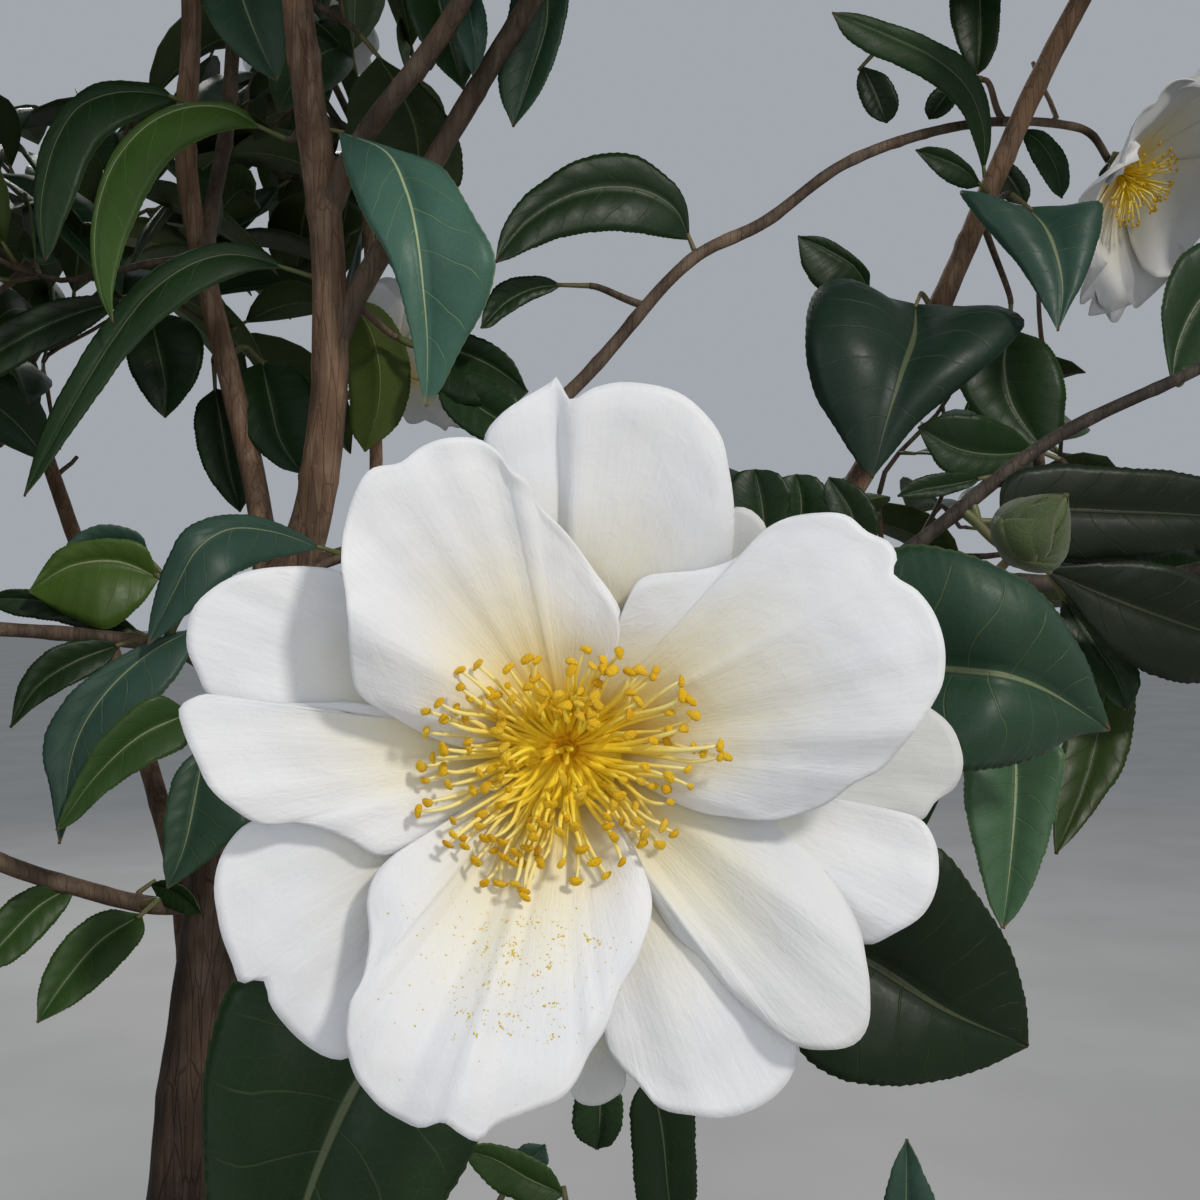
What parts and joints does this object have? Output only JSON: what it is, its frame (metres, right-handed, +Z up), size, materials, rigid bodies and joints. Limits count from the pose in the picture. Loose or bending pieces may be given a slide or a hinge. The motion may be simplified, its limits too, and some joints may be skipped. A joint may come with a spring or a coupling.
{
  "type": "potted camellia shrub",
  "caption": "Evergreen flowering shrub with glossy folded leaves, open white single blooms with yellow stamens and slender upright stems, growing in a plain round nursery tub.",
  "frame": {"origin": "centre of the tub's flat underside", "axes": "+Z up, away from the floor; -Y is the front, the side that the large open bloom faces"},
  "size_m": [0.8086, 0.6295, 1.3397],
  "materials": {
    "tub_plastic": "pale grey moulded plastic, lightly scuffed",
    "potting_mix": "moist potting mix under bark chips",
    "trunk_bark": "dark brown bark, finely wrinkled",
    "stem_bark": "warm brown smooth bark with fine cracks",
    "twig_bark": "grey-brown young bark",
    "leaf": "glossy deep green upper side",
    "leaf_underside": "satin yellow-green underside",
    "petiole": "smooth green-brown leaf stalks",
    "petal": "thin matt white petal, faintly veined, pale yellow at its foot",
    "stamen": "pale yellow filaments",
    "anther": "powdery orange-yellow pollen",
    "bud_scale": "overlapping downy green bud scales",
    "bark_chip": "shredded bark mulch"
  },
  "bodies": {
    "root": {"tub": "tub_plastic", "potting_mix": "potting_mix", "trunk": "trunk_bark", "main_stem": "stem_bark", "left_stem": "stem_bark", "left_inner_bough": "twig_bark", "upper_front_bough": "twig_bark", "upper_right_bough": "twig_bark", "right_bough": "stem_bark", "slender_bough": "twig_bark", "front_bough": "twig_bark", "front_right_bough": "twig_bark", "left_inner_low_bough": "twig_bark", "front_left_bough": "twig_bark", "left_bough": "stem_bark", "left_low_bough": "twig_bark", "upper_left_bough": "twig_bark", "rear_left_bough": "stem_bark", "rear_bough": "stem_bark", "rear_low_bough": "twig_bark", "rear_right_bough": "stem_bark", "right_low_bough": "twig_bark", "right_outer_bough": "twig_bark", "front_low_bough": "twig_bark", "bloom_front": "petal", "bloom_right": "petal", "bloom_behind": "petal", "bloom_front_left": "petal", "bloom_left": "petal", "bloom_rear": "petal", "bloom_rear_right": "petal", "bloom_top_front": "petal", "bloom_right_upper": "petal", "bloom_top": "petal", "foliage_front_left": "leaf", "foliage_left_inner": "leaf", "foliage_left_mid": "leaf", "foliage_left": "leaf", "foliage_left_low": "leaf", "foliage_upper_left": "leaf", "foliage_rear_left": "leaf", "foliage_rear_low": "leaf", "foliage_rear_upper": "leaf", "foliage_rear_right": "leaf", "foliage_right_inner": "leaf", "foliage_right": "leaf", "foliage_right_upper": "leaf", "foliage_right_low": "leaf", "foliage_front_right": "leaf", "foliage_front_low": "leaf", "foliage_centre": "leaf", "foliage_top_front": "leaf", "foliage_top_right": "leaf", "foliage_crown_top": "leaf", "foliage_top_left": "leaf", "foliage_top_rear": "leaf"}
  },
  "joints": []
}
